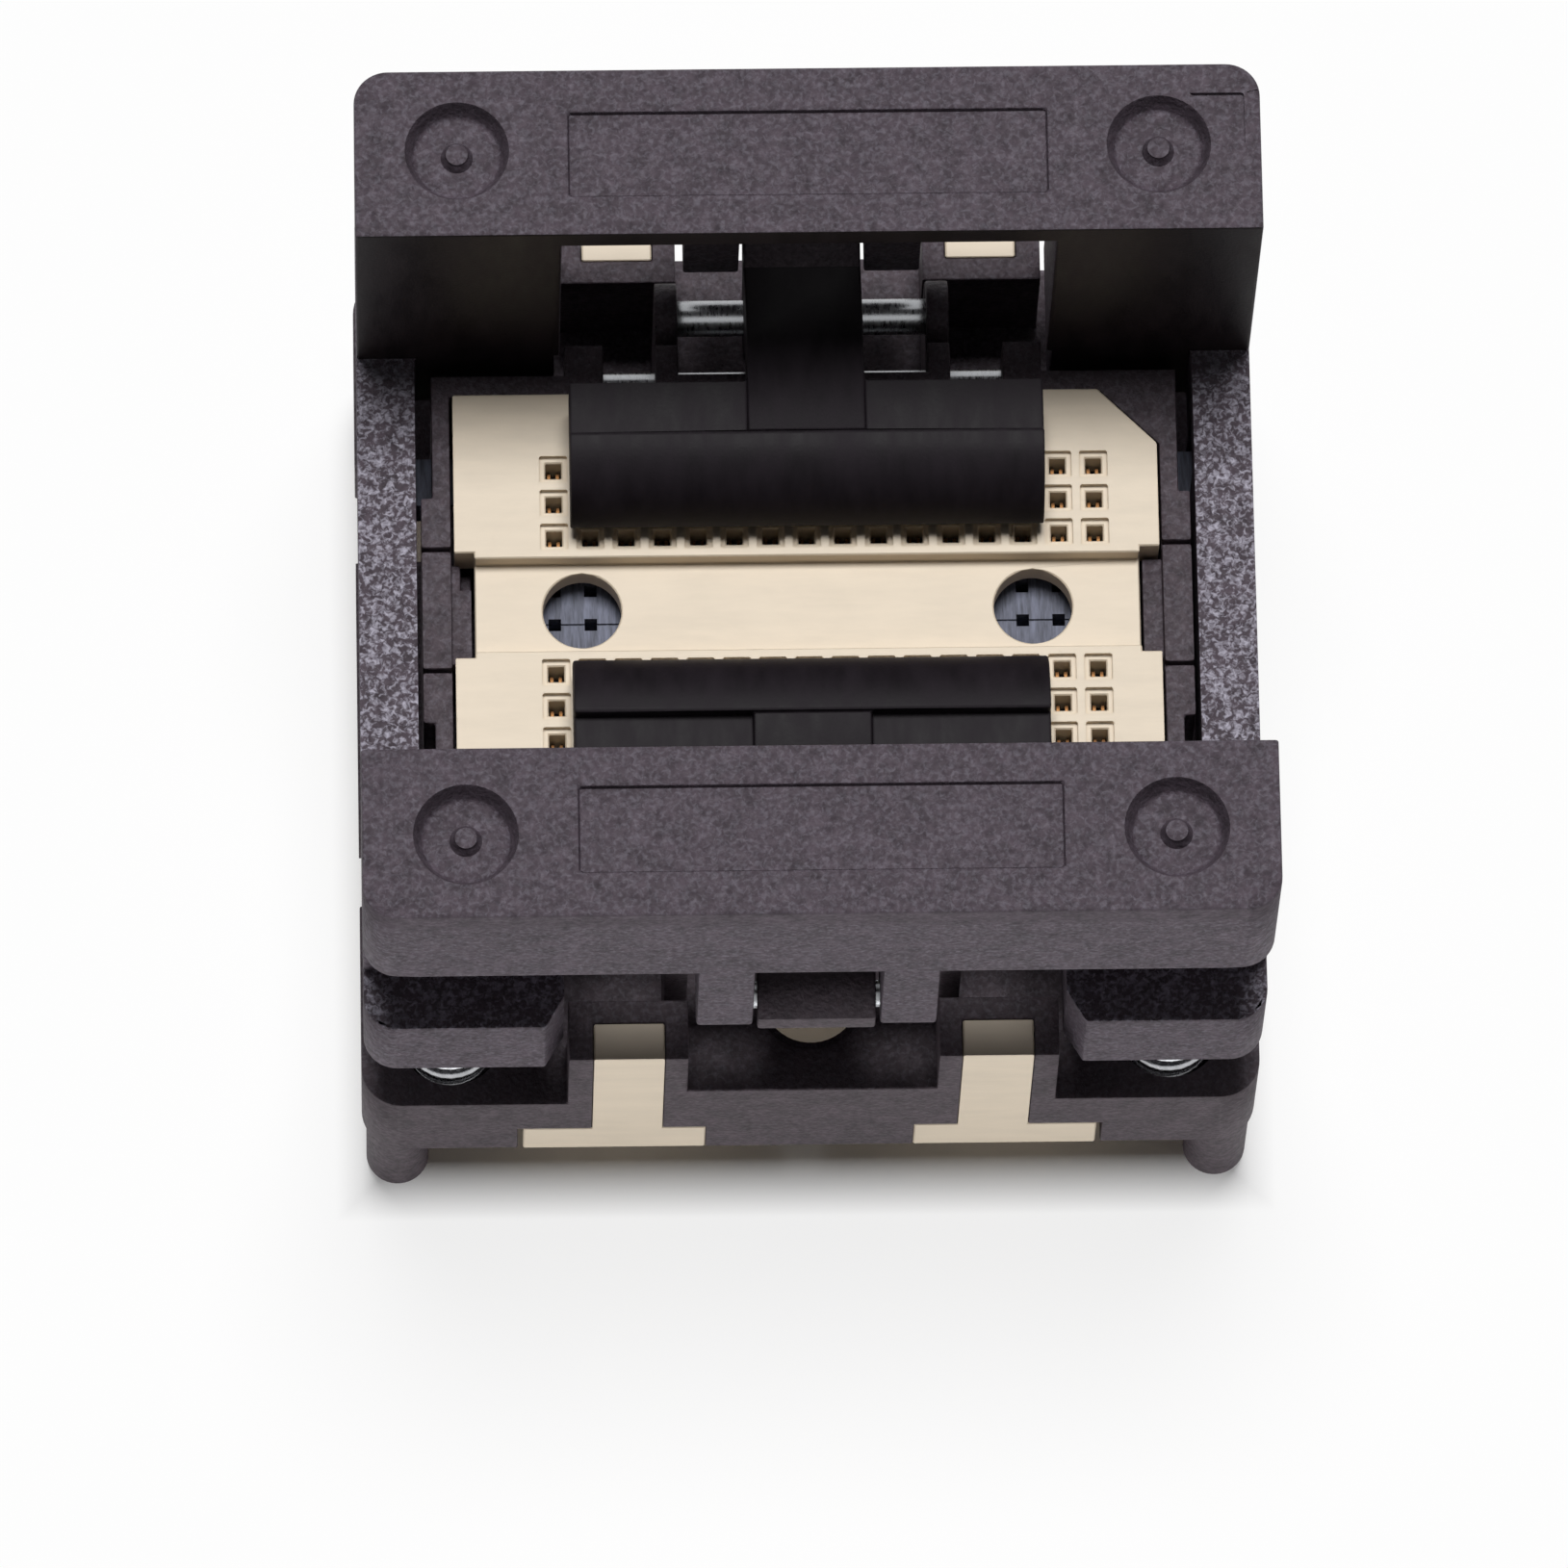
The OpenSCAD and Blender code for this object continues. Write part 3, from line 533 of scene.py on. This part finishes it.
class SOCKET_OT_base(bpy.types.Operator):
    """Round the edges of the base housing, with its locating pins"""

    bl_idname = "socket.base"
    bl_label = "Base housing"

    def execute(self, context):
        mould = context.scene.socket_mould
        resin = spark_eroded_resin(
            "Base_spark_eroded_polyetherimide", mould.base_colour, mould.fibre_glint_colour,
            fibre_glint_share=0.12, roughness=0.62,
        )
        soften("base_housing", resin, mould.base_edge, mould.edge_steps)
        return {"FINISHED"}


class SOCKET_OT_latches(bpy.types.Operator):
    """Round the edges of both latches and finish them in smooth black, with dull tails"""

    bl_idname = "socket.latches"
    bl_label = "Latches"

    def execute(self, context):
        mould = context.scene.socket_mould
        resin = polished_resin("Latch_polished_polyetherimide", mould.latch_colour, roughness=0.52)
        dull = spark_eroded_resin(
            "Latch_tail_spark_eroded_polyetherimide", mould.base_colour, mould.fibre_glint_colour,
            fibre_glint_share=0.05, roughness=0.62,
        )
        for end in ENDS:
            piece = soften("latch_" + end, resin, mould.latch_edge, mould.edge_steps)
            piece.data.materials.append(dull)
            for face in piece.data.polygons:
                if abs(face.center.y) > LATCH_TAIL_Y:
                    face.material_index = 1
        return {"FINISHED"}


class SOCKET_OT_pale_pieces(bpy.types.Operator):
    """Round the edges of the seat plate and of the contact plate under the base"""

    bl_idname = "socket.pale_pieces"
    bl_label = "Seat and contact plate"

    def execute(self, context):
        mould = context.scene.socket_mould
        resin = liquid_crystal_polymer("Natural_liquid_crystal_polymer", mould.cream_colour)
        for node in ("seat_plate", "contact_plate"):
            soften(node, resin, mould.cream_edge, steps=1)
        return {"FINISHED"}


class SOCKET_OT_slider(bpy.types.Operator):
    """Give the slider plate its fibre-streaked grey"""

    bl_idname = "socket.slider"
    bl_label = "Slider"

    def execute(self, context):
        mould = context.scene.socket_mould
        resin = fibre_streaked_resin("Slider_carbon_filled_resin", mould.slider_colour)
        set_material(frame["nodes"]["slider"], resin)
        return {"FINISHED"}


class SOCKET_OT_contacts(bpy.types.Operator):
    """Give the contacts their plated finish, darkened to paint the shade of their holes"""

    bl_idname = "socket.contacts"
    bl_label = "Contacts"

    def execute(self, context):
        colour = context.scene.socket_metal.gold_with_painted_shade
        gold = drawn_metal("Contact_gold_plate_with_painted_shade", colour, roughness=0.35, stretch=(1, 1, 0.2))
        for name, node in frame["nodes"].items():
            if name.startswith("contact_row"):
                set_material(node, gold)
        return {"FINISHED"}


class SOCKET_OT_pins(bpy.types.Operator):
    """Round the ends of the latch shafts, cover pins and retainer pins"""

    bl_idname = "socket.pins"
    bl_label = "Steel pins"

    def execute(self, context):
        colour = context.scene.socket_metal.pin_colour
        steel = drawn_metal("Ground_stainless_pin", colour, roughness=0.3, stretch=(1, 0.2, 0.2))
        for kind in ("latch_shaft", "cover_pin", "retainer_pin"):
            for end in ENDS:
                soften(kind + "_" + end, steel, PIN_EDGE, PIN_STEPS)
        return {"FINISHED"}


class SOCKET_OT_springs(bpy.types.Operator):
    """Wind the corner springs and the seat springs from round wire"""

    bl_idname = "socket.springs"
    bl_label = "Springs"

    def execute(self, context):
        metal = context.scene.socket_metal
        wire = drawn_metal(
            "Drawn_spring_wire", metal.wire_colour, roughness=0.24, stretch=(0.3, 0.3, 1)
        )
        for corner in CORNERS:
            wind_spring("spring_" + corner, metal.spring_wire, metal.spring_turns, wire)
            wind_spring("seat_spring_" + corner, metal.seat_wire, metal.seat_turns, wire)
        return {"FINISHED"}


def plain_floor(colour):
    """A matt pale floor that the camera and reflections see as white, but for the shade of the socket."""
    material, tree = new_material("Floor_sweep")
    matt = add_node(tree, "BsdfDiffuse", inputs={"Color": rgba(colour)})
    white = add_node(tree, "Emission", inputs={"Color": rgba(colour), "Strength": 1.0})
    path = add_node(tree, "LightPath")
    seen = add_node(
        tree, "Math", {"operation": "MAXIMUM"},
        {0: path.outputs["Is Camera Ray"], 1: path.outputs["Is Glossy Ray"]},
    )
    place = add_node(tree, "SeparateXYZ", inputs={"Vector": add_node(tree, "TexCoord").outputs["Object"]})
    across = add_node(tree, "Math", {"operation": "ABSOLUTE"}, {0: place.outputs["X"]})
    along = add_node(tree, "Math", {"operation": "ABSOLUTE"}, {0: place.outputs["Y"]})
    far = add_node(tree, "Math", {"operation": "MAXIMUM"}, {0: across, 1: along})
    clear = add_node(
        tree, "MapRange",
        inputs={"Value": far, "From Min": SHADE_EDGE, "From Max": SHADE_END, "To Min": 0.0, "To Max": 0.85},
    )
    share = add_node(tree, "Math", {"operation": "MULTIPLY"}, {0: seen, 1: clear})
    both = add_node(tree, "MixShader", inputs={0: share, 1: matt, 2: white})
    add_node(tree, "OutputMaterial", inputs={"Surface": both})
    return material


def direction(azimuth, elevation):
    """The way to a far place, given in degrees round from the front and above the floor."""
    side, height = math.radians(azimuth), math.radians(elevation)
    return Vector((math.sin(side) * math.cos(height), -math.cos(side) * math.cos(height), math.sin(height)))


def add_sky_lamp(name, azimuth, elevation, spread, strength):
    """A far, round soft lamp, given in degrees by where it stands and how wide it looks from the socket."""
    lamp = bpy.data.lights.new(name, "SUN")
    lamp.angle = math.radians(spread)
    lamp.energy = strength
    holder = bpy.data.objects.new(name, lamp)
    holder.rotation_euler = (-direction(azimuth, elevation)).to_track_quat("-Z", "Y").to_euler()
    bpy.context.scene.collection.objects.link(holder)


def lay_floor(colour):
    """A square sheet under the locating pins."""
    sheet = bmesh.new()
    bmesh.ops.create_grid(sheet, x_segments=1, y_segments=1, size=1.0)
    bmesh.ops.translate(sheet, verts=sheet.verts, vec=(0, 0, CAD_BOX[0].z - FLOOR_GAP))
    floor = bpy.data.objects.new("Floor", finished_mesh("Floor", sheet))
    bpy.context.scene.collection.objects.link(floor)
    set_material(floor, plain_floor(colour))
    # The bounce lamp stands in for light off the table, so it shines through the floor
    floor.visible_shadow = False


def set_world(fill):
    """A faint light from all round, in a world that the camera and reflections see as white."""
    world = bpy.data.worlds.new("Soft_studio")
    bpy.context.scene.world = world
    world.use_nodes = True
    tree = world.node_tree
    tree.nodes.clear()
    path = add_node(tree, "LightPath")
    mirrored = add_node(
        tree, "Math", {"operation": "MAXIMUM"},
        {0: path.outputs["Is Glossy Ray"], 1: path.outputs["Is Transmission Ray"]},
    )
    seen = add_node(
        tree, "Math", {"operation": "MAXIMUM"}, {0: path.outputs["Is Camera Ray"], 1: mirrored}
    )
    strength = add_node(tree, "MapRange", inputs={"Value": seen, "To Min": fill, "To Max": 1.0})
    sky = add_node(tree, "Background", inputs={"Color": (1, 1, 1, 1), "Strength": strength})
    add_node(tree, "OutputWorld", inputs={"Surface": sky})


def set_camera(stage):
    """The camera of the view from above and in front."""
    lens = bpy.data.cameras.new("Camera")
    lens.sensor_width = 36
    lens.lens = stage.lens
    lens.clip_start = 0.01
    lens.clip_end = 10
    camera = bpy.data.objects.new("Camera", lens)
    back = direction(stage.azimuth, stage.elevation)
    roll = Matrix.Rotation(math.radians(stage.roll), 4, "Z").to_quaternion()
    camera.rotation_mode = "QUATERNION"
    camera.rotation_quaternion = (-back).to_track_quat("-Z", "Y") @ roll
    camera.location = Vector(stage.aim) + back * stage.distance
    bpy.context.scene.collection.objects.link(camera)
    bpy.context.scene.camera = camera


class SOCKET_OT_stage(bpy.types.Operator):
    """Lay the floor and set up the world, the lamps and the camera"""

    bl_idname = "socket.stage"
    bl_label = "Stage"

    def execute(self, context):
        stage = context.scene.socket_stage
        lay_floor(stage.floor_colour)
        set_world(stage.fill)
        add_sky_lamp("Overhead_lamp", azimuth=178, elevation=76, spread=22, strength=stage.overhead)
        add_sky_lamp("Bounce_lamp", azimuth=-4, elevation=-16, spread=20, strength=stage.bounce)
        set_camera(stage)
        context.scene.view_settings.view_transform = "Standard"
        return {"FINISHED"}


OPERATORS = (
    SOCKET_OT_stage,
    SOCKET_OT_cover,
    SOCKET_OT_base,
    SOCKET_OT_latches,
    SOCKET_OT_pale_pieces,
    SOCKET_OT_slider,
    SOCKET_OT_contacts,
    SOCKET_OT_pins,
    SOCKET_OT_springs,
)
SETTINGS = {
    "socket_mould": SocketMouldSettings,
    "socket_metal": SocketMetalSettings,
    "socket_stage": SocketStageSettings,
}


class SOCKET_PT_panel(bpy.types.Panel):
    """Lists the steps that finish the socket"""

    bl_idname = "SOCKET_PT_panel"
    bl_label = "Socket"
    bl_space_type = "VIEW_3D"
    bl_region_type = "UI"
    bl_category = "Socket"

    def draw(self, context):
        for operator in OPERATORS:
            self.layout.operator(operator.bl_idname)
        for group in SETTINGS:
            settings = getattr(context.scene, group)
            box = self.layout.box()
            for name in settings.bl_rna.properties.keys():
                if name not in ("rna_type", "name"):
                    box.prop(settings, name)


def register():
    for group in (*SETTINGS.values(), *OPERATORS, SOCKET_PT_panel):
        bpy.utils.register_class(group)
    for name, group in SETTINGS.items():
        setattr(bpy.types.Scene, name, PointerProperty(type=group))


def unregister():
    for name in SETTINGS:
        delattr(bpy.types.Scene, name)
    for group in reversed((*SETTINGS.values(), *OPERATORS, SOCKET_PT_panel)):
        bpy.utils.unregister_class(group)


def main():
    register()
    for operator in OPERATORS:
        group, name = operator.bl_idname.split(".")
        getattr(getattr(bpy.ops, group), name)()


if __name__ == "__main__":
    main()
